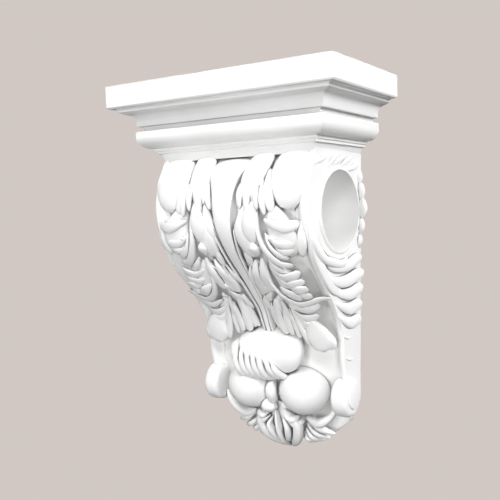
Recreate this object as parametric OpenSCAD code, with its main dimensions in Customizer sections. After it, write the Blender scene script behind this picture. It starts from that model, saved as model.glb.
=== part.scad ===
// Scroll corbel with acanthus carving: a moulded cap on an S-shaped scroll, cast in one piece.
// Millimetres, +Z up. The flat back lies on the plane y = 0 and the front faces -Y.
// The origin is on the flat back, on the centre line, at the fixing level.

/* [Cap] */
// Width of the top slab
slab_w = 240; // [200:1:320]
// How far the top slab stands out from the wall
slab_d = 135; // [125:1:180]
// Thickness of the top slab
slab_t = 20.5; // [12:0.5:35]
// Step in under the slab, above the cove
slab_step = 6; // [3:0.5:10]
// Height of the hollow cove under the slab
cove_h = 11; // [8:0.5:18]
// How far the cove draws the cap in
cove_in = 7.5; // [5:0.5:14]
// Height of the sunk fillet between cove and round moulding
sunk_h = 5.7; // [3:0.1:9]
// Height of the round moulding
round_h = 16; // [10:0.5:26]
// How far the round moulding draws in towards its foot
round_in = 10.5; // [6:0.5:14]
// Height of the sloping fascia that ends the cap
fascia_h = 13.3; // [8:0.1:20]
// How far the fascia slopes in
fascia_in = 4; // [2:0.5:10]

/* [Scroll] */
// Width of the scroll body across its two side bands
body_w = 158; // [140:1:180]
// Width of each raised side band, seen from the front
band_w = 12; // [8:0.5:18]
// How far the front between the bands lies behind them
recess = 8; // [4:0.5:12]
// How far the scroll stands out where it meets the cap
crown_out = 99; // [90:0.5:118]
// How far the scroll stands out at its fullest
bulge_out = 114; // [100:0.5:125]
// Drop from the top of the cap to the fullest point
bulge_drop = 120; // [110:1:150]
// How far the scroll stands out at its waist
waist_out = 38; // [30:0.5:55]
// Drop from the top of the cap to the waist
waist_drop = 256; // [235:1:290]
// Diameter of the foot scroll at the end of each side band
foot_d = 38; // [28:1:48]
// Distance between the waist and the middle of the foot scroll
foot_gap = 47; // [40:1:60]
// Thickness of the plate against the wall at the foot
plate_t = 9; // [6:0.5:14]
// Width of the plate across its pointed end, where the point starts
plate_w = 124; // [100:1:140]
// Drop from the top of the cap to the point of the plate
plate_drop = 360; // [345:1:400]

/* [Eye] */
// Diameter of the round eye that runs through the scroll
eye_d = 74; // [50:1:80]
// Distance of the middle of the eye from the wall
eye_out = 50; // [46:0.5:60]
// Drop from the top of the cap to the middle of the eye
eye_drop = 124; // [118:1:140]
// Width of the collar round the eye
collar_w = 5; // [3:0.5:9]
// How far the collar stands out from the side
collar_h = 5; // [2:0.5:8]
// Number of leaf lobes round the eye
eye_lobes = 12; // [9:1:16]
// How far the leaves stand out from the side
side_rise = 9; // [5:0.5:14]

/* [Carving] */
// Width of the smooth centre tongue at its narrowest
tongue_w = 15; // [10:0.5:22]
// Width of the centre tongue under the cap
tongue_top_w = 42; // [30:1:60]
// How far the centre tongue stands out in front of the side bands
tongue_rise = 7; // [3:0.5:10]
// How far the front leaves stand out from the ground of the front
leaf_rise = 13; // [8:0.5:18]
// Diameter of the two balls
ball_d = 46; // [34:1:52]
// Distance between the middles of the balls
ball_gap = 53; // [44:1:66]
// Distance of the middles of the balls from the wall
ball_out = 31; // [26:0.5:40]
// Drop from the waist to the middles of the balls
ball_below = 41; // [36:1:60]
// Diameter of the small bud between the balls
bud_d = 16; // [10:0.5:22]
// Width of the overturned leaf above the balls
claw_w = 70; // [50:1:90]
// How far the overturned leaf stands out from the wall
claw_out = 66; // [50:1:90]
// How far the hanging leaf reaches below the point of the plate
leaf_below = 6; // [0:1:20]

/* [Fixing] */
// Drop from the top of the cap to the fixing level, where the origin is
fix_drop = 40; // [25:1:60]

/* [Hidden] */
plaster = [0.95, 0.95, 0.94];
bite = 5;                        // how deep a carved form is rooted in the body
clear_wall = 1;                  // the carving stops this far in front of the wall
half = body_w / 2;
slab_lip = 0.8;                  // softened lower edge of the slab
quirk = 5.2;                     // small slope between slab and cove
cap_h = slab_t + slab_lip + quirk + cove_h + sunk_h + round_h + fascia_h;
foot_drop = waist_drop + foot_gap;
foot_out = foot_d / 2 + 9;
ball_drop = waist_drop + ball_below;
tip_drop = plate_drop + leaf_below;
eye_r = eye_d / 2;
arc_steps = 6;                   // straight runs in each curve of the cap
face_steps = 16;                 // straight runs down the front
tongue_steps = 10;
finger_steps = 4;
carved_w = body_w + 2 * (side_rise + 3);  // full width over the side leaves

// ---- Shape of the front, as a distance from the wall for each drop below the top ----

function lerp(a, b, t) = a + (b - a) * t;

function face_out(d) =
    d < bulge_drop
    ? lerp(crown_out, bulge_out, sin(90 * (d - cap_h) / (bulge_drop - cap_h)))
    : d < waist_drop
    ? lerp(waist_out, bulge_out, 0.5 + 0.5 * cos(180 * (d - bulge_drop) / (waist_drop - bulge_drop)))
    : lerp(plate_t, waist_out, 0.5 + 0.5 * cos(180 * min(1, (d - waist_drop) / (plate_drop - waist_drop))));

function face_slope(d) = (face_out(d + 0.5) - face_out(d - 0.5));

// A point x across and d down the front, standing h proud of the ground between the bands
function front_point(x, d, h) =
    let (m = face_slope(d), n = sqrt(1 + m * m))
    [x, -(face_out(d) - recess + h / n), fix_drop - d + h * m / n];

// A point on the right side, out from the wall and d down, standing h proud of the side
function side_point(out, d, h) = [half + h, -out, fix_drop - d];

function placed(on_side, a, d, h) = on_side ? side_point(a, d, h) : front_point(a, d, h);

// ---- Curves ----

function bend(p, q, r, t) = (1 - t) * (1 - t) * p + 2 * t * (1 - t) * q + t * t * r;

// ---- Cap ----

// Drops from the top of the slab, and insets from its edge, down to the scroll
z_cove = slab_t + slab_lip + quirk;
z_sunk = z_cove + cove_h;
z_round = z_sunk + sunk_h;
z_fascia = z_round + round_h;
in_cove = slab_step + quirk + 2;
in_sunk = in_cove + cove_in + 1.5;
in_round = in_sunk - 3.5;
in_fascia = in_round + round_in + 1.5;
cap_profile = concat(
    [[0, 0], [0, slab_t], [slab_lip, slab_t + slab_lip], [slab_step, slab_t + slab_lip],
        [slab_step + quirk, z_cove]],
    [for (a = [0 : 90 / arc_steps : 90]) [in_cove + cove_in * sin(a), z_cove + cove_h * (1 - cos(a))]],
    [[in_sunk, z_sunk], [in_sunk, z_round - 0.7]],
    [[in_round, z_round]],
    [for (a = [0 : 90 / arc_steps : 90])
        [in_round + round_in * (1 - cos(a)), lerp(z_round, z_fascia, 0.35 + 0.65 * sin(a))]],
    [[in_fascia, z_fascia], [in_fascia, z_fascia + 2.6], [in_fascia + 4.4, z_fascia + 5.2],
        [in_fascia + 4.4 + fascia_in, cap_h]]
);

// Section of the cap across its whole width, or from the wall to the front
module cap_section(reach, both_ends) {
    near = [for (p = cap_profile) [reach - p[0], fix_drop - p[1]]];
    far = [for (i = [len(near) - 1 : -1 : 0]) [both_ends ? -near[i][0] : 0, near[i][1]]];
    polygon(concat(near, far));
}

// The moulding runs round the front and both ends, so it is the overlap of two straight runs
module cap() {
    intersection() {
        rotate([90, 0, 0]) linear_extrude(slab_d) cap_section(slab_w / 2, true);
        translate([slab_w / 2, 0, 0]) rotate([90, 0, -90]) linear_extrude(slab_w)
            cap_section(slab_d, false);
    }
}

// ---- Scroll body ----

// Side view of the body in (distance from wall, height), set back from the bands by `back`
function side_view(back, from, to) =
    concat(
        [[0, fix_drop - from]],
        [for (i = [0 : face_steps])
            let (d = lerp(from, to, i / face_steps))
            [face_out(d) - back, fix_drop - d]],
        [[0, fix_drop - to]]
    );

module across(x0, x1) {
    translate([x0, 0, 0]) rotate([90, 0, 90]) linear_extrude(x1 - x0) mirror([1, 0, 0]) children();
}

module ground() {
    across(-half + 1, half - 1) polygon(side_view(recess, cap_h - 4, plate_drop - 45));
}

// Raised band down the right side, ending in a round foot scroll
module side_band() {
    across(half - band_w, half) {
        polygon(side_view(0, cap_h - 4, foot_drop));
        translate([foot_out, fix_drop - foot_drop]) circle(d = foot_d, $fn = 20);
        translate([0, fix_drop - foot_drop - foot_d / 2]) square([foot_out, foot_d / 2 + 2]);
    }
    translate([half - 2, -foot_out, fix_drop - foot_drop])
        rotate([0, 90, 0]) cylinder(d = foot_d - 8, h = 6, $fn = 20);
}

// Plate against the wall, pointed at the bottom
module wall_plate() {
    shoulder = foot_drop + foot_d / 2 - 4;
    corner = half - 1;
    flank = plate_w / 2;
    right = [[corner, -foot_drop], [corner, -shoulder], [flank, -shoulder - 18],
        [flank - 14, -shoulder - 30], [8, -plate_drop]];
    left = [for (i = [len(right) - 1 : -1 : 0]) [-right[i][0], right[i][1]]];
    translate([0, 0, fix_drop]) rotate([90, 0, 0]) linear_extrude(plate_t)
        polygon(concat(right, left));
}

module collar() {
    translate([-half - collar_h, -eye_out, fix_drop - eye_drop])
        rotate([0, 90, 0]) cylinder(r = eye_r + collar_w, h = body_w + 2 * collar_h, $fn = 36);
}

module eye() {
    translate([-half - 30, -eye_out, fix_drop - eye_drop])
        rotate([0, 90, 0]) cylinder(r = eye_r, h = body_w + 60, $fn = 96);
}

module scroll() {
    ground();
    side_band();
    mirror([1, 0, 0]) side_band();
    wall_plate();
    collar();
}

module balls() {
    for (s = [-1, 1])
        translate([s * ball_gap / 2, -ball_out, fix_drop - ball_drop]) sphere(d = ball_d, $fn = 18);
}

// ---- Carving ----

// One closed skin through a list of rings that all have as many points
module skin(rings) {
    n = len(rings[0]);
    m = len(rings);
    polyhedron(
        points = [for (r = rings) each r],
        faces = concat(
            [[for (j = [0 : n - 1]) j]],
            [for (i = [0 : m - 2]) for (j = [0 : n - 1])
                let (k = (j + 1) % n)
                each [[i * n + j, (i + 1) * n + j, i * n + k], [i * n + k, (i + 1) * n + j, (i + 1) * n + k]]],
            [[for (j = [n - 1 : -1 : 0]) (m - 1) * n + j]]
        ),
        convexity = 6
    );
}

// How wide the lobed outline of a leaf is at each of its rings: two rings to a lobe
lobe_shape = [0.64, 1];
lobe_at = [0.05, 0.7];

// One ring of a leaf: five points over the top, two rooted in the body
leaf_section = [[-1, 0.45], [-0.55, 1], [0, 0.65], [0.55, 1], [1, 0.45]];

function leaf_ring(on_side, p, q, r, w, rise, curl, t) =
    let (
        c = bend(p, q, r, t),
        g = bend(p, q, r, t + 0.01) - bend(p, q, r, t - 0.01),
        across = (on_side ? -1 : 1) * [-g[1], g[0]] / norm(g),
        reach = w * pow(sin(180 * lerp(0.12, 0.96, t)), 0.6),
        h = rise * lerp(0.8, 1, t) + curl * t * t
    )
    concat(
        [for (e = leaf_section)
            let (a = c + across * reach * e[0]) placed(on_side, a[0], a[1], h * e[1])],
        [for (e = [0.5, -0.5])
            let (a = c + across * reach * e) placed(on_side, a[0], a[1], -bite)]
    );

// A lobed leaf from p through q to r, each (across, drop), and w wide each side of its rib.
// The tip curls up by `curl` beyond the rise of the rest.
module leaf(p, q, r, w, rise, curl, lobes, on_side = false) {
    skin(concat(
        [for (i = [0 : lobes - 1]) for (k = [0 : 1])
            leaf_ring(on_side, p, q, r, w * lobe_shape[k], rise, curl, (i + lobe_at[k]) / lobes)],
        [leaf_ring(on_side, p, q, r, w, rise, curl, 1)]
    ));
}

// A rounded finger along a curve in space, w wide each side and `thick` deep
finger_section = [for (a = [18 : 72 : 306]) [cos(a), sin(a)]];

function finger_ring(p, q, r, w, thick, t) =
    let (
        c = bend(p, q, r, t),
        g = bend(p, q, r, t + 0.01) - bend(p, q, r, t - 0.01),
        u = g / norm(g),
        s = [1, 0, 0] - u * u[0],
        side = s / norm(s),
        out = cross(u, side),
        k = pow(sin(180 * lerp(0.15, 0.97, t)), 0.5)
    )
    [for (e = finger_section) c + side * (w * k * e[0]) + out * (thick / 2 * k * e[1])];

module finger(p, q, r, w, thick) {
    skin([for (i = [0 : finger_steps]) finger_ring(p, q, r, w, thick, i / finger_steps)]);
}

// Left and right copies
module both() {
    children();
    mirror([1, 0, 0]) children();
}

// Acanthus leaves on the right half of the front: start, middle and tip as (across, drop),
// then width each side, curl of the tip and number of lobes
front_leaves = [
    [[34, cap_h + 1], [60, 88], [half - 6, bulge_drop + 4], 21, 3, 3],
    [[28, cap_h + 1], [42, 92], [44, bulge_drop], 15, 2, 3],
    [[36, 116], [62, 136], [half - 8, 170], 20, 3, 4],
    [[33, 118], [36, 146], [23, 171], 13, 2, 3],
    [[44, 150], [60, 178], [half - 16, 206], 17, 1, 3],
    [[24, 166], [34, 190], [30, 222], 11, 2, 3],
    [[34, 186], [52, 214], [half - 8, waist_drop - 8], 16, 8, 3],
    [[26, 200], [38, 224], [46, waist_drop - 8], 12, 5, 3]
];

// Leaves on the right side, as (distance from the wall, drop)
side_leaves = [
    [[70, eye_drop + 42], [44, eye_drop + 62], [18, eye_drop + 66], 13, 1, 3],
    [[58, eye_drop + 68], [34, eye_drop + 86], [10, eye_drop + 92], 11, 1, 3],
    [[38, eye_drop + 92], [24, eye_drop + 110], [10, eye_drop + 122], 9, 0, 3],
    [[26, eye_drop + 116], [20, eye_drop + 134], [10, eye_drop + 150], 8, 0, 3]
];

module eye_leaves() {
    for (i = [0 : eye_lobes - 1])
        let (
            a = 360 * i / eye_lobes,
            dir = [cos(a), sin(a)],
            mid = [eye_out, eye_drop],
            reach = eye_r + collar_w + 13,
            fits = eye_drop + reach * dir[1] > cap_h + 2 && eye_out + reach * dir[0] > 0
        )
        leaf(mid + dir * (eye_r + 1), mid + dir * (eye_r + 8),
            mid + dir * (fits ? reach : eye_r + collar_w + 7), 8.5, side_rise, 0, 1, true);
}

module front_carving() {
    for (v = front_leaves) leaf(v[0], v[1], v[2], v[3], leaf_rise, v[4], v[5]);
    eye_leaves();
    for (v = side_leaves) leaf(v[0], v[1], v[2], v[3], side_rise, v[4], v[5], true);
}

// Smooth tongue down the middle of the front
function tongue_half(d) =
    d < bulge_drop
    ? lerp(tongue_top_w, tongue_w, sin(90 * (d - cap_h) / (bulge_drop - cap_h))) / 2
    : lerp(tongue_w, 0.6 * tongue_w, (d - bulge_drop) / (waist_drop - bulge_drop)) / 2;

module tongue() {
    rise = recess + tongue_rise;
    skin([for (i = [0 : tongue_steps])
        let (d = lerp(cap_h + 0.5, waist_drop, i / tongue_steps), w = tongue_half(d))
        [for (e = [[1, 0.7], [0.7, 1], [-0.7, 1], [-1, 0.7], [-0.8, -0.5], [0.8, -0.5]])
            front_point(w * e[0], d, rise * e[1])]]);
}

// Leaf turned over at the waist, with its fingers curling in above the balls
module claw() {
    z = fix_drop - waist_drop;
    translate([0, 22 - claw_out, z - 20]) scale([claw_w / 2, 20, 19]) sphere(1, $fn = 14);
    for (x = [-1 : 0.4 : 1])
        let (w = claw_w / 2 - 5, dip = 7 * (1 - x * x))
        finger([x * w * 0.6, 26 - claw_out, z - 4], [x * w * 1.25, -6 - claw_out, z - 22],
            [x * w * 0.9, 20 - claw_out, z - 38 - dip], 6, 9);
}

// Bud, hanging leaf and petals under the balls
module tail() {
    z = fix_drop - ball_drop;
    translate([0, -ball_out - 12, z - 4]) scale([0.8, 1, 1.5]) sphere(d = bud_d, $fn = 10);
    translate([0, -ball_out - 4, z - 26]) sphere(d = 0.75 * bud_d, $fn = 8);
    finger([0, -24, z - 18], [0, -34, z - 46], [0, -9, fix_drop - tip_drop], 17, 16);
    both() {
        for (i = [0 : 2])
            finger([12 + 4 * i, -20, z - 24], [20 + 7 * i, -30, z - 40 + 3 * i],
                [20 + 11 * i, -9, z - 60 + 7 * i], 6, 9);
        finger([34, -22, z - 18], [48, -26, z - 34], [30, -14, z - 42], 6, 10);
        finger([half - 14, -16, z - 16], [58, -20, z - 44], [30, -10, z - 52], 6, 10);
    }
}

// The carving, kept clear of the wall and of the cap
module carving() {
    intersection() {
        union() {
            both() front_carving();
            tongue();
            claw();
            tail();
        }
        translate([-slab_w / 2, -slab_d, fix_drop - tip_drop - 1])
            cube([slab_w, slab_d - clear_wall, tip_drop - cap_h + 4]);
    }
}

// The scroll and everything carved on it, brought to its full width over the side leaves
module carved_scroll() {
    resize([carved_w, 0, 0])
    union() {
        scroll();
        balls();
        carving();
    }
}

module corbel() {
    color(plaster)
    difference() {
        union() {
            cap();
            carved_scroll();
        }
        eye();
    }
}

corbel();
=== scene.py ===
import math

import bmesh
import bpy
from mathutils import Matrix, Vector


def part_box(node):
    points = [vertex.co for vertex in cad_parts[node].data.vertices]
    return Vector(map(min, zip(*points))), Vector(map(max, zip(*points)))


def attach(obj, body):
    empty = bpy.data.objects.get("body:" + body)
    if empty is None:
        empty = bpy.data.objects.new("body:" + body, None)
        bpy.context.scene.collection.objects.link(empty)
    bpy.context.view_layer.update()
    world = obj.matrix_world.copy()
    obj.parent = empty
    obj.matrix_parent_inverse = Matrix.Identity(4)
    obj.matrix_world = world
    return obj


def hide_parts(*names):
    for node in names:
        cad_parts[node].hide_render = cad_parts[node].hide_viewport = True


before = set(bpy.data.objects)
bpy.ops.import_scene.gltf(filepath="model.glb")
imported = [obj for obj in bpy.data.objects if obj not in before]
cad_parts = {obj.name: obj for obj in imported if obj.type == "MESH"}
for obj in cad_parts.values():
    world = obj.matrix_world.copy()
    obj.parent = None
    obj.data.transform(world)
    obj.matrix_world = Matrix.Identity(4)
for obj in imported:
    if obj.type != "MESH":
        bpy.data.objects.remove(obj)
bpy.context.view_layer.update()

# ---- Sizes, in millimetres; drops are measured down from the top of the cap ----

MM = 0.001
TINY = 1e-6
LOW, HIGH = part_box("corbel")
TOP = HIGH[2] / MM
SLAB_HALF = HIGH[0] / MM
SLAB_OUT = -LOW[1] / MM
BODY_HALF = 79.5
BAND_WIDTH = 4.0
FLANK_WIDTH = 12.0
RECESS = 8.0
CAP_DROP = 72.8
BULGE_DROP = 120.0
WAIST_DROP = 256.0
PLATE_DROP = 360.0
CROWN_OUT = 96.0
BULGE_OUT = 114.0
WAIST_OUT = 38.0
PLATE_THICK = 9.0
WALL_GAP = 0.3
EYE_REACH = 39.0
EYE_RISE = 36.8
EYE_OUT = 48.0
EYE_DROP = 124.0
EYE_SIDES = 96
FOOT_DROP = 303.0


# ---- Placing: from the carver's coordinates to the frame ----

NECK_SPREAD = 1.035
FOOT_SPREAD = 0.965
LEAF_GROUND = 12.0


def mix(a, b, t):
    return a + (b - a) * t


def ease(t):
    return 0.5 - 0.5 * math.cos(math.pi * min(1.0, max(0.0, t)))


def place(x, out, drop):
    return Vector((x, -out, TOP - drop)) * MM


def narrowing(drop):
    """The scroll is a little wider under the cap than at its foot."""
    return NECK_SPREAD - (NECK_SPREAD - FOOT_SPREAD) * (drop - CAP_DROP) / (FOOT_DROP - CAP_DROP)


def face_out(drop):
    """How far the side bands stand out from the wall at each drop."""
    if drop < BULGE_DROP:
        t = (drop - CAP_DROP) / (BULGE_DROP - CAP_DROP)
        return mix(CROWN_OUT, BULGE_OUT, math.sin(math.pi / 2 * t))
    if drop < WAIST_DROP:
        t = (drop - BULGE_DROP) / (WAIST_DROP - BULGE_DROP)
        return mix(BULGE_OUT, WAIST_OUT, ease(t))
    t = (drop - WAIST_DROP) / (PLATE_DROP - WAIST_DROP)
    return mix(WAIST_OUT, PLATE_THICK, ease(t))


def on_front(x, drop, height):
    """x across and drop down the sunk front between the bands, standing height proud of it."""
    slope = face_out(drop + 0.5) - face_out(drop - 0.5)
    size = math.hypot(1.0, slope)
    out = face_out(drop) - RECESS + height / size
    return place(x * narrowing(drop), out, drop - height * slope / size)


def on_leaf(x, drop, height):
    """As on_front near the ground; higher parts stand straight out from the wall."""
    lift = height - LEAF_GROUND
    return on_front(x, drop, LEAF_GROUND) + Vector((0, -lift * MM, 0))


def on_side(out, drop, height):
    """out from the wall and drop down the right side, standing height proud of it."""
    return place((BODY_HALF + height) * narrowing(drop), out, drop)


def smooth_step(a, b, c, d, u):
    """The point a part u of the way from b to c, on a smooth curve through a, b, c and d."""
    return 0.5 * (2 * b + (c - a) * u + (2 * a - 5 * b + 4 * c - d) * u * u
                  + (3 * b - a - 3 * c + d) * u ** 3)


def through(points, t):
    """A point of the smooth curve that passes through these points."""
    points = [Vector(p) for p in points]
    points = [2 * points[0] - points[1]] + points + [2 * points[-1] - points[-2]]
    spans = len(points) - 3
    i = min(int(t * spans), spans - 1)
    return smooth_step(*points[i:i + 4], t * spans - i)


class Line:
    """A smooth line seen from the side, through (out, drop) points."""

    def __init__(self, knots, steps=12):
        knots = [Vector(knot) for knot in knots]
        ends = [knots[0]] + knots + [knots[-1]]
        spots = []
        for a, b, c, d in zip(ends, ends[1:], ends[2:], ends[3:]):
            spots += [smooth_step(a, b, c, d, i / steps) for i in range(steps)]
        spots.append(knots[-1])
        self.spots = spots
        self.along = [0.0]
        for a, b in zip(spots, spots[1:]):
            self.along.append(self.along[-1] + (b - a).length)
        self.length = self.along[-1]

    def __call__(self, x, s, height):
        """The spot at x across and s along the line, standing height proud of it."""
        s = min(max(s, 0.0), self.length - TINY)
        i = max(k for k in range(len(self.along) - 1) if self.along[k] <= s)
        a, b = self.spots[i], self.spots[i + 1]
        t = (s - self.along[i]) / (self.along[i + 1] - self.along[i])
        before = self.spots[max(i - 1, 0)]
        after = self.spots[min(i + 2, len(self.spots) - 1)]
        run = (b - before).lerp(after - a, t).normalized()
        spot = a.lerp(b, t)
        return place(x, spot.x + run.y * height, spot.y - run.x * height)


# ---- Making pieces ----

def new_piece(name, bm, finish):
    """Finish a bmesh as one piece of the casting."""
    bmesh.ops.remove_doubles(bm, verts=bm.verts, dist=TINY)
    bmesh.ops.recalc_face_normals(bm, faces=bm.faces)
    mesh = bpy.data.meshes.new(name)
    bm.to_mesh(mesh)
    bm.free()
    for face in mesh.polygons:
        face.use_smooth = True
    piece = bpy.data.objects.new(name, mesh)
    bpy.context.collection.objects.link(piece)
    mesh.materials.append(finish)
    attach(piece, "root")
    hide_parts("corbel")
    return piece


def soften(piece, angle):
    """Smooth shading that keeps the arrises sharper than this many degrees."""
    for face in piece.data.polygons:
        face.use_smooth = True
    bm = bmesh.new()
    bm.from_mesh(piece.data)
    for edge in bm.edges:
        if len(edge.link_faces) == 2 and edge.calc_face_angle() > math.radians(angle):
            edge.smooth = False
    bm.to_mesh(piece.data)
    bm.free()


def in_rows(bm):
    """The points of a fresh grid, row by row from the top."""
    return sorted(bm.verts, key=lambda v: (round(-v.co.y, 5), v.co.x))


def close_back(bm):
    """Join the two edges of a shaped grid that lie on the wall, and fill its open ends."""
    edges = [e for e in bm.edges if e.is_boundary and all(abs(v.co.y) < TINY for v in e.verts)]
    bmesh.ops.bridge_loops(bm, edges=edges)
    bmesh.ops.holes_fill(bm, edges=[e for e in bm.edges if e.is_boundary], sides=0)


# Below 1, this gives a lobe's section a flatter crown and steeper edges
SQUARENESS = 0.8
# Parts of a lobe's length: where it reaches full width, and how far ahead it looks for its way
ROOT_LENGTH = 1 / 1.4
LOOK_AHEAD = 0.03


def squared(v):
    """Push a sine or cosine outwards, which squares a round section."""
    return math.copysign(abs(v) ** SQUARENESS, v)


def lobe(bm, onto, path, width, thick, full=0.45, sides=18, rings=16, mirrored=True, root=0.6):
    """A carved lobe: a ball drawn out along a path through (across, down, height) points.

    root is how wide it starts, as a part of its half width. A smaller full makes its ends
    blunter. A mirrored lobe is made on both sides of the corbel."""
    for way in ((1, -1) if mirrored else (1,)):
        made = bmesh.ops.create_uvsphere(bm, u_segments=sides, v_segments=rings, radius=1.0)
        for vert in made["verts"]:
            t = math.acos(max(-1.0, min(1.0, -vert.co.z))) / math.pi
            round_off = math.sin(math.pi * t) ** full if 0 < t < 1 else 0.0
            spread = mix(root, 1.0, ease(t / ROOT_LENGTH)) * round_off
            turn = math.atan2(vert.co.y, vert.co.x)
            across = squared(math.cos(turn))
            up = squared(math.sin(turn))
            spot = through(path, t)
            ahead = through(path, min(t + LOOK_AHEAD, 1.0)) - through(path, max(t - LOOK_AHEAD, 0.0))
            aside = Vector((-ahead.y, ahead.x)).normalized()
            flat = spot.xy + aside * (across * width * spread)
            where = onto(flat.x, flat.y, spot.z + thick * up * round_off)
            vert.co = Vector((way * where.x, where.y, where.z))


# ---- Cap ----

CURVE_STEPS = 10
MITRE_ARRIS = 0.5


def cap_profile():
    """(inset from the slab's edge, drop) down the mouldings."""
    quarter = [math.pi / 2 * i / CURVE_STEPS for i in range(CURVE_STEPS + 1)]
    slab = [(0.6, 0.0), (0.0, 0.6), (0.0, 20.0), (0.9, 21.3), (5.6, 21.4)]
    fillet = [(7.6, 23.0), (8.0, 24.6), (11.0, 26.2), (13.0, 26.8)]
    hollow = [(13.0 + 6.6 * math.sin(a), 26.8 + 9.8 * (1 - math.cos(a))) for a in quarter[1:]]
    quirk = [(20.0, 38.0), (24.6, 38.3), (24.8, 42.6), (19.6, 43.0), (19.0, 44.0)]
    round_moulding = [(19.0 + 10.4 * (1 - math.cos(a)), 48.6 + 10.6 * math.sin(a)) for a in quarter]
    neck = [(31.4, 59.5), (31.6, 62.0), (33.2, 62.4), (33.4, 64.6), (36.4, 65.2), (39.2, CAP_DROP)]
    return slab + fillet + hollow + quirk + round_moulding + neck


def cap(finish):
    """The moulded cap: its profile carried round three sides, mitred at the two front corners."""
    profile = cap_profile()
    bm = bmesh.new()
    bmesh.ops.create_grid(bm, x_segments=3, y_segments=len(profile) - 1, size=1.0)
    grid = in_rows(bm)
    for i, (inset, drop) in enumerate(profile):
        half = SLAB_HALF - inset
        out = SLAB_OUT - inset
        corners = [(-half, 0.0), (-half, out), (half, out), (half, 0.0)]
        for vert, (x, y) in zip(grid[4 * i:4 * i + 4], corners):
            vert.co = place(x, y, drop)
    close_back(bm)
    half_way = -SLAB_OUT / 2 * MM
    mitres = [e for e in bm.edges if abs(e.verts[0].co.z - e.verts[1].co.z) > TINY
              and all(v.co.y < half_way for v in e.verts)]
    bmesh.ops.bevel(bm, geom=mitres, offset=MITRE_ARRIS * MM, segments=2, affect="EDGES",
                    profile=0.5, material=-1)
    soften(new_piece("cap", bm, finish), angle=22)


# ---- Scroll body ----

# Distances in from the side at which the front of the body is shaped
BODY_STEPS = (0, 0.15, 0.4, 0.8, 2, 3.4, 4, 4.8, 5.8, 7, 8.4, 10, 11, 12, 12.2, 13.2, 14, 18, 24, 32,
              42, 56, 70)
BODY_ROWS = 96
# How far the body reaches up into the cap, and down past the middle of the foot scrolls
BODY_TUCK = 2.0
BODY_FOOT = 9.0
ARRIS_WIDTH = 0.8
ARRIS_LOSS = 0.6
FLANK_TOP = RECESS - 0.4
FLANK_FOOT = 1.6
LIP_WIDTH = 1.2
FLANK_CURVE = 0.8
GROUND_SIDE = -1.0
GROUND_MIDDLE = 3.5
GROUND_RISE = 30.0
EYE_CLEARANCE = 1.5
CUTTER_LENGTH = 200.0


def section(x):
    """Height of the plain front above its ground, from one side band across to the other."""
    edge = BODY_HALF - abs(x)
    if edge < BAND_WIDTH:
        return RECESS - ARRIS_LOSS * (1 - min(1.0, edge / ARRIS_WIDTH)) ** 2
    if edge < FLANK_WIDTH:
        t = ease((edge - BAND_WIDTH) / (FLANK_WIDTH - BAND_WIDTH))
        return mix(FLANK_TOP, FLANK_FOOT, t ** FLANK_CURVE)
    if edge < FLANK_WIDTH + LIP_WIDTH:
        return mix(FLANK_FOOT, GROUND_SIDE, (edge - FLANK_WIDTH) / LIP_WIDTH)
    return mix(GROUND_SIDE, GROUND_MIDDLE, ease((edge - FLANK_WIDTH - LIP_WIDTH) / GROUND_RISE))


def eye_cutter():
    """A rod across the corbel, a little larger than the lining of the eye."""
    bm = bmesh.new()
    bmesh.ops.create_cone(bm, cap_ends=True, segments=EYE_SIDES, radius1=1, radius2=1,
                          depth=CUTTER_LENGTH * MM, matrix=Matrix.Rotation(math.pi / 2, 4, "Y"))
    reach = (EYE_REACH + EYE_CLEARANCE) * MM
    rise = (EYE_RISE + EYE_CLEARANCE) * MM
    bmesh.ops.scale(bm, vec=(1, reach, rise), verts=bm.verts)
    bmesh.ops.translate(bm, vec=place(0, EYE_OUT, EYE_DROP), verts=bm.verts)
    mesh = bpy.data.meshes.new("cutter")
    bm.to_mesh(mesh)
    bm.free()
    cutter = bpy.data.objects.new("cutter", mesh)
    bpy.context.collection.objects.link(cutter)
    return cutter


def bored(piece):
    """Cut the eye across the piece."""
    cutter = eye_cutter()
    rod = cutter.data
    cut = piece.modifiers.new("eye", "BOOLEAN")
    cut.operation = "DIFFERENCE"
    cut.solver = "EXACT"
    cut.object = cutter
    seen = bpy.context.evaluated_depsgraph_get()
    result = bpy.data.meshes.new_from_object(piece.evaluated_get(seen))
    piece.modifiers.clear()
    whole = piece.data
    piece.data = result
    bpy.data.meshes.remove(whole)
    bpy.data.objects.remove(cutter)
    bpy.data.meshes.remove(rod)


def scroll_body(finish):
    """The S-shaped scroll: side bands with hollow flanks, a sunk front and flat sides."""
    stops = [BODY_HALF - step for step in BODY_STEPS]
    across = [-x for x in stops] + stops[::-1]
    wide = len(across) + 2
    bm = bmesh.new()
    bmesh.ops.create_grid(bm, x_segments=wide - 1, y_segments=BODY_ROWS, size=1.0)
    grid = in_rows(bm)
    for row in range(BODY_ROWS + 1):
        drop = mix(CAP_DROP - BODY_TUCK, FOOT_DROP + BODY_FOOT, row / BODY_ROWS)
        line = grid[wide * row:wide * row + wide]
        half = BODY_HALF * narrowing(drop)
        line[0].co = place(-half, 0, drop)
        line[-1].co = place(half, 0, drop)
        for vert, x in zip(line[1:-1], across):
            vert.co = on_front(x, drop, section(x))
    close_back(bm)
    piece = new_piece("scroll_body", bm, finish)
    bored(piece)
    soften(piece, angle=30)


# ---- Wall plate ----

# Its right side, as (across, drop), down to the point
PLATE_SIDE = [(71, 285), (71, 325), (68, 334), (53, 346), (20, 358), (0, PLATE_DROP)]
PLATE_ARRIS = 1.5


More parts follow.
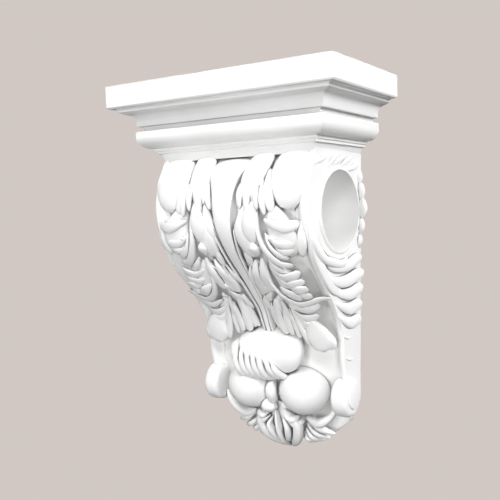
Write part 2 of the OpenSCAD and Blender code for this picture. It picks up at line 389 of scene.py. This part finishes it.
def wall_plate(finish):
    """The pointed plate behind the foot."""
    outline = PLATE_SIDE + [(-x, drop) for x, drop in reversed(PLATE_SIDE[:-1])]
    bm = bmesh.new()
    face = bm.faces.new([bm.verts.new(place(x, WALL_GAP, drop)) for x, drop in outline])
    made = bmesh.ops.extrude_face_region(bm, geom=[face])["geom"]
    front = [g for g in made if isinstance(g, bmesh.types.BMFace)][0]
    for vert in front.verts:
        vert.co.y = -PLATE_THICK * MM
    bmesh.ops.bevel(bm, geom=list(front.edges), offset=PLATE_ARRIS * MM, segments=3,
                    affect="EDGES", profile=0.5, material=-1)
    soften(new_piece("wall_plate", bm, finish), angle=40)


# ---- Eye ----

COLLAR_PROUD = 3.6
LINING_GAP = 0.4
LINING_TUCK = 1.0
# Half of its section from the middle out to the collar and back: (back from the end, thickness)
COLLAR = [(1.0, 0.0), (0.2, 0.3), (0.0, 1.0), (0.3, 2.6), (1.2, 3.4), (1.6, 3.7), (1.2, 4.4),
          (1.2, 7.0), (2.4, 9.4), (6.0, 10.0), (10.0, 6.0)]


def eye_lining(finish):
    """The smooth lining of the round eye, with a soft collar at each end."""
    reach = BODY_HALF + COLLAR_PROUD
    half = [(0.0, 0.0)] + [(reach - back, thick) for back, thick in COLLAR] + [(0.0, 4.0)]
    loop = half[:-1] + [(-x, thick) for x, thick in reversed(half[1:])]
    bm = bmesh.new()
    verts = [bm.verts.new((x * MM, -(EYE_REACH + thick) * MM, 0)) for x, thick in loop]
    edges = [bm.edges.new((a, b)) for a, b in zip(verts, verts[1:] + verts[:1])]
    bmesh.ops.spin(bm, geom=verts + edges, cent=(0, 0, 0), axis=(1, 0, 0), angle=2 * math.pi,
                   steps=EYE_SIDES, use_merge=True)
    bmesh.ops.scale(bm, vec=(1, 1, EYE_RISE / EYE_REACH), verts=bm.verts)
    bmesh.ops.translate(bm, vec=place(0, EYE_OUT, EYE_DROP), verts=bm.verts)
    under_cap = (TOP - CAP_DROP + LINING_TUCK) * MM
    for vert in bm.verts:
        vert.co.y = min(vert.co.y, -LINING_GAP * MM)
        vert.co.z = min(vert.co.z, under_cap)
    soften(new_piece("eye_lining", bm, finish), angle=50)


# ---- Front leaves ----

# Each lobe: the points it passes through as (across, drop, height), then its half width
TOP_LEAF = [
    # Dome beside the band, then the leaf beside the tongue
    (((60, 56, -6), (61, 74, -2), (61.5, 99, 5), (65, 122, 4)), 19.5),
    (((33, 56, 0), (32, 74, 2.5), (27.5, 98, 9.5), (27, 119, 9)), 12.4),
    # Its fingers, from the outer one to the inner one
    (((42, 90, 8), (45, 108, 11), (50, 123, 11)), 5.2),
    (((38, 98, 10), (41, 112, 14), (43.5, 125, 13)), 3.2),
    (((33, 96, 10), (35, 108, 14), (36, 121, 13)), 3.2),
    (((27, 98, 9), (26, 111, 13), (25, 123, 12)), 3.8),
    (((19, 96, 8), (17.3, 107, 11), (16, 120, 9)), 3.7),
]
SECOND_LEAF = [
    # Swelling under the outer and the inner half of the leaf
    (((44, 116, 6), (56, 138, 10), (58, 157, 11)), 15),
    (((27, 116, 6), (22, 138, 10), (20, 158, 11)), 10),
    # Side lobes down the outer half, and one against the band
    (((40, 127, 11), (52, 131, 15), (64, 133, 14), (75, 130, 9)), 4.9),
    (((41, 138, 12), (52, 145, 15), (63, 146, 14), (72, 141, 10)), 4.1),
    (((47, 148, 13), (57, 152, 15), (67, 150, 13)), 3.2),
    (((74, 128, 6), (73.5, 142, 9), (71, 156, 11)), 4.6),
    # Long lobes down the inner half, and their tips
    (((31, 110, 8), (28, 128, 12.5), (26, 146, 13)), 8.4),
    (((23, 114, 8), (16, 134, 11), (13, 151, 9)), 6.2),
    (((19, 146, 9), (16, 156, 11), (17, 167, 10)), 4.0),
    (((31, 158, 12), (28, 166, 14), (22, 171, 12)), 3.4),
    # Middle rib, between a thin one above it and a short one below it
    (((41, 136, 12), (45, 148, 15), (52, 155, 15.5), (60, 157, 14)), 2.8),
    (((35, 120, 11), (36, 140, 15), (41, 153, 16.5), (50, 162, 16.5), (62, 163, 14)), 3.5),
    (((37, 157, 13), (43, 165, 16), (51, 171, 15)), 3.2),
]
THIRD_LEAF = [
    # Swelling under the outer and the inner half of the leaf
    (((34, 160, 9), (48, 178, 13), (56, 194, 14)), 13),
    (((23, 158, 8), (19, 178, 11), (17, 194, 11)), 9),
    # Side lobes down the outer half
    (((36, 168, 13), (48, 174, 17), (57, 173, 17), (65, 168, 14)), 4.4),
    (((38, 176, 14), (49, 181, 18), (58, 180, 18), (66, 176, 15)), 4.4),
    (((47, 184, 16), (57, 186, 19), (67, 184, 17)), 4.6),
    (((37, 183, 15), (47, 190, 19), (57, 196, 18)), 5.0),
    (((52, 191, 16), (60, 192, 18), (67, 191, 16)), 4.0),
    # Long lobes down the inner half
    (((31, 156, 12), (28.5, 173, 16.5), (26, 190, 16)), 5.4),
    (((23, 158, 11), (19, 172, 15), (14, 186, 13)), 4.8),
    (((14, 163, 9), (9.5, 174, 11), (6, 184, 9)), 3.0),
    (((25, 189, 13), (18, 196, 14), (11, 199, 11)), 3.4),
    # Tendril that sweeps round under the leaf to the side band
    (((33, 161, 13), (31.5, 176, 18), (35, 188, 20), (42, 196, 20), (52, 201, 19), (62, 199, 17),
      (72, 195, 13), (82, 194, 8)), 3.1),
]
LOW_LEAF = [
    # Swelling under the outer and the inner half of the leaf
    (((36, 198, 9), (46, 222, 12), (54, 240, 13)), 12),
    (((22, 196, 8), (19, 218, 10), (20, 236, 9)), 9),
    # Side lobes down the outer half
    (((38, 201, 14), (50, 207, 17), (60, 206, 16), (69, 201, 12)), 4.4),
    (((38, 208, 14), (47, 215, 17), (56, 216, 16), (64, 212, 13)), 4.4),
    (((42, 216, 14), (51, 224, 17), (62, 222, 14)), 4.6),
    # Broad tip that hangs over the waist
    (((47, 212, 12), (58, 235, 17), (62, 257.5, 16)), 14.0),
    (((58, 222, 13), (66, 240, 16.5), (69.5, 255, 15)), 9.0),
    # Fan of narrow lobes towards the tongue
    (((36, 206, 13), (41, 226, 16), (46, 241, 16.5), (48, 252, 15)), 4.4),
    (((33, 206, 12), (35, 226, 15), (36, 244, 14)), 3.3),
    (((29, 202, 12), (28, 222, 15), (29, 240, 15)), 4.6),
    (((21, 202, 11), (20, 222, 14), (21.5, 240, 14)), 5.4),
    (((14, 200, 9), (13, 216, 11), (12, 234, 9)), 3.4),
    # Short lobes that cover its top
    (((29, 195, 13), (31, 210, 15), (32, 226, 14)), 2.8),
    (((13, 193, 10), (11, 202, 12), (10, 211, 10)), 3.6),
]
# Small round curls: across, drop, height and radius
CURLS = [(28, 150, 17, 5.2), (23, 186, 17, 3.8), (48, 128, 14, 2.6), (48.5, 142, 16, 2.8),
         (31, 196, 18, 3.0), (15, 209, 12, 2.4)]
LEAF_FULL = 0.38
LEAF_THINNEST = 2.0
LEAF_THICKEST = 5.5
DOME_WIDTH = 16.0
DOME_THICK = 10.0


def leaf_thickness(width):
    """Broad domes are thick; narrower lobes are as thick as their width asks."""
    if width > DOME_WIDTH:
        return DOME_THICK
    return max(LEAF_THINNEST, min(LEAF_THICKEST, 0.4 * width + 1.4))


def front_leaves(finish):
    """Four groups of leaves down each side of the tongue."""
    for name, lobes in (("top_leaves", TOP_LEAF), ("second_leaves", SECOND_LEAF),
                        ("third_leaves", THIRD_LEAF), ("low_leaves", LOW_LEAF)):
        bm = bmesh.new()
        for path, width in lobes:
            lobe(bm, on_leaf, path, width, leaf_thickness(width), full=LEAF_FULL)
        new_piece(name, bm, finish)


def leaf_curls(finish):
    """Small round curls where the leaves meet."""
    bm = bmesh.new()
    for x, drop, height, size in CURLS:
        low = height - size / 2
        path = ((x, drop - 1.2 * size, low), (x, drop, low), (x, drop + 1.2 * size, low))
        lobe(bm, on_leaf, path, size, size * 0.9, full=1.0, root=1.0)
    new_piece("leaf_curls", bm, finish)


# ---- Tongue ----

TONGUE = Line([(84, 68), (95, 74), (108, 81), (116, 90), (120, 104), (122.5, 120), (120, 138),
               (110, 156.5), (98, 171), (83, 187), (69, 203), (56, 219), (49, 235), (43.5, 246),
               (40, 256)])
# Distance down the tongue, and its half width there
TONGUE_HALVES = [(0, 27), (10, 26), (21, 23), (39, 17), (54, 12.8), (70, 10.6), (88, 8.8),
                 (110, 6.4), (140, 5.2), (170, 4.2), (190, 3.2), (220, 2.4)]
TONGUE_ROWS = 80
TONGUE_COLUMNS = 18
# Past this part of the half width, the tongue's edge turns down into the leaves
TONGUE_RIM = 0.95
TONGUE_DEPTH = 22.0
# Thin ribs beside it: how far from its edge and how far down they start, and their height; then
# how far from its edge they end, and how far short of its tip
RIBS = ((2.4, 88, -2.5), (5.4, 112, -5.0))
RIB_END = 1.6
RIB_STOP = 8.0


def tongue_half(s):
    """Half width of the tongue at a distance down it."""
    for (a, wa), (b, wb) in zip(TONGUE_HALVES, TONGUE_HALVES[1:]):
        if s <= b:
            return mix(wa, wb, max(0.0, (s - a) / (b - a)))
    return TONGUE_HALVES[-1][1]


def tongue(finish):
    """Smooth tongue down the middle, flared under the cap."""
    bm = bmesh.new()
    bmesh.ops.create_grid(bm, x_segments=TONGUE_COLUMNS, y_segments=TONGUE_ROWS, size=1.0)
    for vert in bm.verts:
        across = vert.co.x
        s = (1 - vert.co.y) / 2 * TONGUE.length
        half = tongue_half(s)
        if abs(across) < TONGUE_RIM:
            height = -0.16 * half * across ** 2 - 1.5 * across ** 6
            vert.co = TONGUE(1.03 * across * half, s, height)
        else:
            vert.co = TONGUE(0.99 * across * half, s, -TONGUE_DEPTH)
    bmesh.ops.holes_fill(bm, edges=[e for e in bm.edges if e.is_boundary], sides=0)
    soften(new_piece("tongue", bm, finish), angle=50)


def tongue_ribs(finish):
    """Thin ribs that run down beside the lower part of the tongue and close in on it."""
    bm = bmesh.new()
    for shift, start, height in RIBS:
        path = []
        for i in range(5):
            s = mix(start, TONGUE.length - RIB_STOP, i / 4)
            path.append((tongue_half(s) + mix(shift, RIB_END, i / 4), s, height))
        lobe(bm, TONGUE, path, width=1.5, thick=3.5, sides=12, rings=48, full=0.25)
    new_piece("tongue_ribs", bm, finish)


# ---- Turned-over leaf ----

# The curl seen from the side, as (out, drop); the paths on it give (across, distance along it,
# height)
OVER = Line([(24, 238), (32, 245), (39, 253), (44, 262), (45, 272), (41, 282), (33, 289), (25, 292)])
CURL_PATH = ((0, -4, -2), (0, 26, 2.6), (0, 57, -3))
CURL_WIDTH = 39.5
CURL_THICK = 10.5
# Where the long slanted fingers start across the curl
FINGER_STARTS = (-35, -28, -21, -14, -7)
# Short fingers and side folds: path and half width
SHORT_FINGERS = (
    (((0, 33, 7.5), (5, 45, 9.6), (15, 60, 2.0)), 3.6),
    (((7, 36, 8.0), (12, 46, 9.4), (22, 58, 2.5)), 3.2),
    (((9, 57, 0), (20, 60, 2.5), (32, 52, 1)), 4.2),
    (((-37, 20, 0), (-41, 31, 2), (-38, 44, 0)), 4.2),
    (((-33, 27, 8.5), (-34, 34, 11), (-33, 42, 9)), 4.4),
)


def turned_leaf(finish):
    """Leaf turned over at the waist: a full curl with fingers tucked in under it."""
    bm = bmesh.new()
    lobe(bm, OVER, CURL_PATH, CURL_WIDTH, CURL_THICK, full=0.4, sides=48, rings=32, mirrored=False,
         root=0.75)
    for x in FINGER_STARTS:
        path = ((x, 26, 6.5), (x + 1.5, 39, 9.6), (x + 6, 51, 8.4), (x + 14, 62, 0.5))
        lobe(bm, OVER, path, width=4.1, thick=4.4, rings=24, mirrored=False)
    for path, width in SHORT_FINGERS:
        lobe(bm, OVER, path, width, thick=3.6, rings=22, mirrored=False)
    new_piece("turned_leaf", bm, finish)


# ---- Balls ----

BALL_RADII = (26.0, 22.5, 23.8)
BALL_OUT = 31.0
BALL_DROP = 301.0
BALL_APART = 30.5


def balls(finish):
    """Two slightly flattened balls, side by side under the turned-over leaf."""
    bm = bmesh.new()
    bmesh.ops.create_uvsphere(bm, u_segments=56, v_segments=36, radius=1)
    bmesh.ops.scale(bm, vec=[r * MM for r in BALL_RADII], verts=bm.verts)
    bmesh.ops.translate(bm, vec=place(BALL_APART, BALL_OUT, BALL_DROP), verts=bm.verts)
    other = bmesh.ops.duplicate(bm, geom=bm.verts[:] + bm.edges[:] + bm.faces[:])["geom"]
    bmesh.ops.translate(bm, vec=(-2 * BALL_APART * MM, 0, 0),
                        verts=[g for g in other if isinstance(g, bmesh.types.BMVert)])
    new_piece("balls", bm, finish)


# ---- Leaves under the balls ----

# The hanging leaf and the sprays behind it seen from the side, as (out, drop)
HANG = Line([(34, 288), (38, 302), (36, 316), (31, 328), (26, 341), (20, 355), (9, 368)])
UNDER = Line([(30, 300), (27, 312), (22, 325), (18, 340), (14, 352), (9, 362)])
# Folds down each side of the hanging leaf: path and half width
HANGING_FOLDS = (
    (((6, 36, 0), (20, 47, 2.5), (18.5, 65, 2.5), (2.5, 90, -1)), 5.6),
    (((6, 45, 2.5), (10.5, 53, 5), (9, 64, 4), (3, 76, 1)), 3.8),
)
SPRAY = (
    ((30, 33, 2), (42, 40, 5), (57, 48, 0)),
    ((27, 38, 2), (38, 46, 5), (50, 54, 0)),
    ((25, 43, 2), (33, 51, 5), (43, 58, -1)),
    ((22, 48, 1), (27, 55, 4), (35, 61, -1)),
)


def buds(bm):
    """A tall bud between the balls, and a small one to its left."""
    tall = ((0, 2, 2), (0, 14, 6), (0, 28, 2))
    small = ((-6, 23, 0), (-6, 31, 4), (-5, 39, 1))
    lobe(bm, HANG, tall, width=6.0, thick=6.0, mirrored=False)
    lobe(bm, HANG, small, width=8.5, thick=6.0, mirrored=False, root=0.9)


def hanging_leaf(bm):
    """The leaf that ends the corbel: a plain blade, its middle rib and its folds."""
    blade = ((0, 30, -6), (0, 56, -3), (0, 86, -2))
    rib = ((0, 33, 3), (0.5, 60, 5.5), (1.5, 89, -1))
    lobe(bm, HANG, blade, width=19, thick=4.0, sides=24, rings=24, mirrored=False)
    lobe(bm, HANG, rib, width=3.0, thick=5.0, rings=28, mirrored=False)
    for path, width in HANGING_FOLDS:
        lobe(bm, HANG, path, width, thick=5.0, rings=28, sides=14)


def side_sprays(bm):
    """Four fingers, two petals and a ribbon, close to the wall on each side."""
    upper_petal = ((8, 22, 12), (17, 28, 14), (25, 26, 10))
    lower_petal = ((9, 30, 10), (19, 35, 12), (28, 32, 8))
    ribbon = ((66, 12, 0), (56, 26, 5), (42, 34, 6), (29, 29, 5))
    for path in SPRAY:
        lobe(bm, UNDER, path, width=3.2, thick=3.8)
    lobe(bm, UNDER, upper_petal, width=4.6, thick=4.4)
    lobe(bm, UNDER, lower_petal, width=4.4, thick=4.2)
    lobe(bm, UNDER, ribbon, width=4.8, thick=5.0, rings=24)


def tail_leaves(finish):
    """Everything that hangs below the balls, as one piece."""
    bm = bmesh.new()
    buds(bm)
    hanging_leaf(bm)
    side_sprays(bm)
    new_piece("tail_leaves", bm, finish)


# ---- Sides ----

# Paths on the side: (out from the wall, drop, height)
RIBBON = ((98, 78, -0.4), (107, 100, -0.4), (108, 124, -0.2), (102, 146, 0.2), (91, 166, 0.6),
          (76, 183, 0.8), (62, 195, 0.8), (44, 200, 0.4))
CRESCENT = ((107, 126, -0.6), (103, 148, 0.8), (89, 163, 1.2), (68, 170, 1.2), (46, 173, 1.2),
            (33, 168, 0))
# Leaves that run back to the wall, each swelling at its tip: path and half width
BACK_LEAVES = (
    (((86, 165, -1.4), (64, 175, 0.4), (36, 176, 1.0), (15, 171, 1.8), (4.6, 170, 2.8)), 6.2),
    (((82, 178, -1.4), (60, 188, 0.4), (36, 190, 1.0), (15, 186, 2.6), (4.6, 185, 5.0)), 7.0),
    (((64, 196, -1.2), (46, 201, 0.4), (28, 203, 1.0), (14, 200, 2.4), (4.6, 200, 4.2)), 7.0),
    (((59, 207, -1.2), (42, 214, 0.4), (27, 217, 0.8), (14, 215, 2.0), (4.6, 216, 3.2)), 7.0),
    (((52, 220, -1.4), (38, 227, 0.2), (25, 231, 0.6), (13, 230, 1.4), (4.6, 231, 2.4)), 6.6),
)
# Short raised strokes over the eye, then along the lower wall edge: path and half width
STROKES = (
    (((97, 83, -0.8), (86, 79, 0.2), (73, 75, -0.2)), 2.4),
    (((75, 86, -0.8), (66, 80, 0.4), (58, 75, 0)), 2.6),
    (((63, 84, -0.8), (51, 78, 0.4), (38, 74, 0)), 2.8),
    (((50, 85, -0.8), (36, 79, 0.4), (20, 74, 0)), 3.0),
    (((35, 88, -0.8), (20, 84, 0.4), (7, 81, 0)), 3.4),
    (((40, 242, -0.5), (31, 245, -0.2), (22, 246, -0.5)), 1.5),
    (((35, 263.5, -0.5), (27, 266.5, -0.2), (17, 268, -0.5)), 1.5),
    (((31, 293, -0.5), (25, 295.5, -0.2), (18, 296, -0.5)), 1.5),
)
# Scalloped edge beside the eye: drop, half length and how far it stands out
SCALLOPS = ((93, 8, 3), (107, 9.5, 6), (123, 10.5, 8.5), (140, 9, 6), (154, 8, 3.5))
SCALLOP_OUT = 4.0
SCALLOP_WIDTH = 4.2
SCALLOP_SINK = 1.5


def scalloped_edge(bm):
    """Rounded lobes along the wall, deepest beside the middle of the eye."""
    for drop, size, reach in SCALLOPS:
        middle = reach / 2 - SCALLOP_SINK
        path = ((SCALLOP_OUT, drop - size, middle - 1), (SCALLOP_OUT + 0.6, drop, middle),
                (SCALLOP_OUT, drop + size, middle - 1))
        lobe(bm, on_side, path, SCALLOP_WIDTH, reach / 2 + SCALLOP_SINK, root=1.0)


def side_leaves(finish):
    """Flat ribbon behind the side band, leaves that run back to the wall, and a scalloped edge."""
    bm = bmesh.new()
    lobe(bm, on_side, RIBBON, width=5.6, thick=2.0, full=0.25, rings=60)
    lobe(bm, on_side, CRESCENT, width=4.6, thick=4.2, full=0.3, rings=44)
    for path, width in BACK_LEAVES:
        lobe(bm, on_side, path, width, thick=3.2, full=0.4, rings=40)
    for path, width in STROKES:
        lobe(bm, on_side, path, width, thick=1.8, rings=24)
    scalloped_edge(bm)
    for vert in bm.verts:
        vert.co.y = min(vert.co.y, -WALL_GAP * MM)
    new_piece("side_leaves", bm, finish)


# ---- Foot scrolls ----

FOOT_ACROSS = 73.5
FOOT_OUT = 28.0
FOOT_RADIUS = 19.0
FOOT_LENGTH = 17.0
FOOT_EDGE = 5.0
BOSS_ACROSS = 80.5
BOSS_OUT = 27.0
BOSS_DROP = 301.0
BOSS_RADIUS = 13.0
BOSS_LENGTH = 6.0
BOSS_EDGE = 1.2


def drum(bm, middle, radius, length, edge, sides, edge_steps):
    """A round drum that lies across the corbel, with softened rims."""
    turned = Matrix.Translation(middle) @ Matrix.Rotation(math.pi / 2, 4, "Y")
    made = bmesh.ops.create_cone(bm, cap_ends=True, segments=sides, radius1=radius * MM,
                                 radius2=radius * MM, depth=length * MM, matrix=turned)
    fresh = set(made["verts"])
    rims = [e for e in bm.edges if fresh.issuperset(e.verts)
            and abs(e.verts[0].co.x - e.verts[1].co.x) < TINY]
    bmesh.ops.bevel(bm, geom=rims, offset=edge * MM, segments=edge_steps, affect="EDGES",
                    profile=0.5, material=-1)


def foot_scrolls(finish):
    """Rolled end of each side band, with a flat boss on its outer side."""
    bm = bmesh.new()
    for way in (1, -1):
        roll = place(way * FOOT_ACROSS, FOOT_OUT, FOOT_DROP)
        drum(bm, roll, FOOT_RADIUS, FOOT_LENGTH, FOOT_EDGE, sides=64, edge_steps=6)
        boss = place(way * BOSS_ACROSS, BOSS_OUT, BOSS_DROP)
        drum(bm, boss, BOSS_RADIUS, BOSS_LENGTH, BOSS_EDGE, sides=48, edge_steps=3)
    soften(new_piece("foot_scrolls", bm, finish), angle=50)


# ---- Finish ----

DULL_WHITE = (0.83, 0.83, 0.825)
CLEAN_WHITE = (0.89, 0.89, 0.885)
# Painted shade: colour in the deepest crevices, white on open faces, and how far the occlusion looks
# for them
PAINTED_CREVICE_SHADE = (0.2, 0.2, 0.205)
OPEN_FACE = (1, 1, 1)
PAINTED_SHADE_REACH = 0.0052


def noise(nodes, links, spot, scale, detail):
    """Noise in the piece's own space."""
    pattern = nodes.new("ShaderNodeTexNoise")
    pattern.inputs["Scale"].default_value = scale
    pattern.inputs["Detail"].default_value = detail
    links.new(spot.outputs["Object"], pattern.inputs["Vector"])
    return pattern


def ramp(nodes, low, low_colour, high, high_colour):
    """Colours between two stops."""
    tone = nodes.new("ShaderNodeValToRGB")
    first, last = tone.color_ramp.elements
    first.position = low
    first.color = (*low_colour, 1)
    last.position = high
    last.color = (*high_colour, 1)
    return tone


def painted_crevice_shade(nodes, links):
    """Painted shade: darker colour where the carving is narrow and deep, from ambient occlusion."""
    hollow = nodes.new("ShaderNodeAmbientOcclusion")
    hollow.inputs["Distance"].default_value = PAINTED_SHADE_REACH
    hollow.samples = 12
    painted_shade = ramp(nodes, 0.25, PAINTED_CREVICE_SHADE, 0.67, OPEN_FACE)
    links.new(hollow.outputs["AO"], painted_shade.inputs["Fac"])
    return painted_shade


def plaster():
    """Matt white casting plaster: faint mottling, painted shade in the hollows, fine grain."""
    finish = bpy.data.materials.new("white_plaster")
    finish.use_nodes = True
    nodes = finish.node_tree.nodes
    links = finish.node_tree.links
    skin = nodes["Principled BSDF"]
    skin.inputs["Specular IOR Level"].default_value = 0.25
    spot = nodes.new("ShaderNodeTexCoord")

    mottle = noise(nodes, links, spot, scale=22.0, detail=5.0)
    tone = ramp(nodes, 0.3, DULL_WHITE, 0.7, CLEAN_WHITE)
    links.new(mottle.outputs["Fac"], tone.inputs["Fac"])
    # Painted shade in the crevices, multiplied over the mottled tone
    painted_shade = painted_crevice_shade(nodes, links)
    both = nodes.new("ShaderNodeMix")
    both.data_type = "RGBA"
    both.blend_type = "MULTIPLY"
    both.inputs[0].default_value = 1.0
    links.new(tone.outputs["Color"], both.inputs[6])
    links.new(painted_shade.outputs["Color"], both.inputs[7])
    links.new(both.outputs[2], skin.inputs["Base Color"])

    rough = nodes.new("ShaderNodeMapRange")
    rough.inputs["To Min"].default_value = 0.5
    rough.inputs["To Max"].default_value = 0.68
    links.new(mottle.outputs["Fac"], rough.inputs["Value"])
    links.new(rough.outputs["Result"], skin.inputs["Roughness"])

    grain = noise(nodes, links, spot, scale=900.0, detail=3.0)
    bump = nodes.new("ShaderNodeBump")
    bump.inputs["Strength"].default_value = 0.12
    bump.inputs["Distance"].default_value = 0.0004
    links.new(grain.outputs["Fac"], bump.inputs["Height"])
    links.new(bump.outputs["Normal"], skin.inputs["Normal"])
    return finish


# ---- Studio, in metres ----

BACKDROP = (0.638, 0.578, 0.546)
BACKDROP_RADIUS = 14.0
FLOOR_SIZE = 12.0
FLOOR_BELOW = 0.35
FILL = 0.075
LAMPS_AIM = (0, -0.05, -0.14)
# Name, place, size and power of each lamp
LAMPS = [
    ("high_front", (0.1, -1.3, 1.4), 0.5, 17),
    ("right_side", (1.8, 0.7, 0.65), 0.5, 35),
    ("high_right", (1.1, -1.3, 1.1), 0.5, 12),
    ("low_right", (1.1, -1.5, -0.2), 0.6, 10.5),
    ("level_front", (-0.1, -1.8, -0.15), 0.6, 11),
    ("low_near", (-0.05, -0.6, -0.55), 0.3, 0.35),
    ("left_side", (-1.8, 0.9, 0.5), 0.5, 18),
]


def backdrop_paint():
    paint = bpy.data.materials.new("backdrop_paint")
    paint.use_nodes = True
    nodes = paint.node_tree.nodes
    nodes.clear()
    glow = nodes.new("ShaderNodeEmission")
    glow.inputs["Color"].default_value = (*BACKDROP, 1)
    out = nodes.new("ShaderNodeOutputMaterial")
    paint.node_tree.links.new(glow.outputs["Emission"], out.inputs["Surface"])
    return paint


def stage_piece(name, bm, paint):
    """A part of the studio that is seen but throws no light or shadow on the corbel."""
    mesh = bpy.data.meshes.new(name)
    bm.to_mesh(mesh)
    bm.free()
    mesh.materials.append(paint)
    piece = bpy.data.objects.new(name, mesh)
    bpy.context.collection.objects.link(piece)
    piece.visible_diffuse = False
    piece.visible_glossy = False
    piece.visible_shadow = False


def floor_and_backdrop():
    """Pale surroundings, evenly bright."""
    paint = backdrop_paint()
    bm = bmesh.new()
    bmesh.ops.create_grid(bm, x_segments=1, y_segments=1, size=FLOOR_SIZE,
                          matrix=Matrix.Translation((0, 0, LOW[2] - FLOOR_BELOW)))
    stage_piece("floor", bm, paint)
    bm = bmesh.new()
    bmesh.ops.create_uvsphere(bm, u_segments=48, v_segments=24, radius=BACKDROP_RADIUS)
    stage_piece("backdrop", bm, paint)


def fill_light():
    """A little white light from all round."""
    world = bpy.data.worlds.new("studio")
    bpy.context.scene.world = world
    world.use_nodes = True
    sky = world.node_tree.nodes["Background"]
    sky.inputs["Color"].default_value = (1, 1, 1, 1)
    sky.inputs["Strength"].default_value = FILL


def lamp(name, spot, size, power):
    """A soft round lamp, turned to the middle of the corbel."""
    light = bpy.data.lights.new(name, "AREA")
    light.shape = "DISK"
    light.size = size
    light.energy = power
    holder = bpy.data.objects.new(name, light)
    holder.visible_camera = False
    bpy.context.collection.objects.link(holder)
    way = (Vector(LAMPS_AIM) - Vector(spot)).normalized()
    aim = way.to_track_quat("-Z", "Y").to_matrix().to_4x4()
    holder.matrix_world = Matrix.Translation(spot) @ aim


def studio():
    floor_and_backdrop()
    fill_light()
    for name, spot, size, power in LAMPS:
        lamp(name, spot, size, power)


# ---- Camera ----

# Across, out from the wall and drop
CAMERA_SPOT = (358.2, 628.7, 115.6)
CAMERA_TURN = 32.903
CAMERA_TILT = -3.771
CAMERA_ROLL = -1.762
CAMERA_LENS = 50.24
CAMERA_SENSOR = 36.0


def camera():
    """Seen from the right and a little above the foot, slightly tilted down."""
    scene = bpy.context.scene
    view = bpy.data.cameras.new("view")
    view.sensor_width = CAMERA_SENSOR
    view.lens = CAMERA_LENS
    holder = bpy.data.objects.new("view", view)
    scene.collection.objects.link(holder)
    turn, tilt, roll = (math.radians(a) for a in (CAMERA_TURN, CAMERA_TILT, CAMERA_ROLL))
    ahead = Vector((-math.sin(turn) * math.cos(tilt), math.cos(turn) * math.cos(tilt),
                    math.sin(tilt)))
    level = Vector((math.cos(turn), math.sin(turn), 0))
    upright = level.cross(ahead)
    right = math.cos(roll) * level + math.sin(roll) * upright
    up = math.cos(roll) * upright - math.sin(roll) * level
    spot = place(*CAMERA_SPOT)
    holder.matrix_world = Matrix((
        (right.x, up.x, -ahead.x, spot.x),
        (right.y, up.y, -ahead.y, spot.y),
        (right.z, up.z, -ahead.z, spot.z),
        (0, 0, 0, 1)))
    scene.camera = holder
    scene.view_settings.view_transform = "Standard"
    scene.view_settings.look = "None"


def corbel():
    """The whole casting, piece by piece."""
    finish = plaster()
    cap(finish)
    scroll_body(finish)
    wall_plate(finish)
    eye_lining(finish)
    front_leaves(finish)
    leaf_curls(finish)
    tongue(finish)
    tongue_ribs(finish)
    turned_leaf(finish)
    balls(finish)
    tail_leaves(finish)
    side_leaves(finish)
    foot_scrolls(finish)


corbel()
studio()
camera()
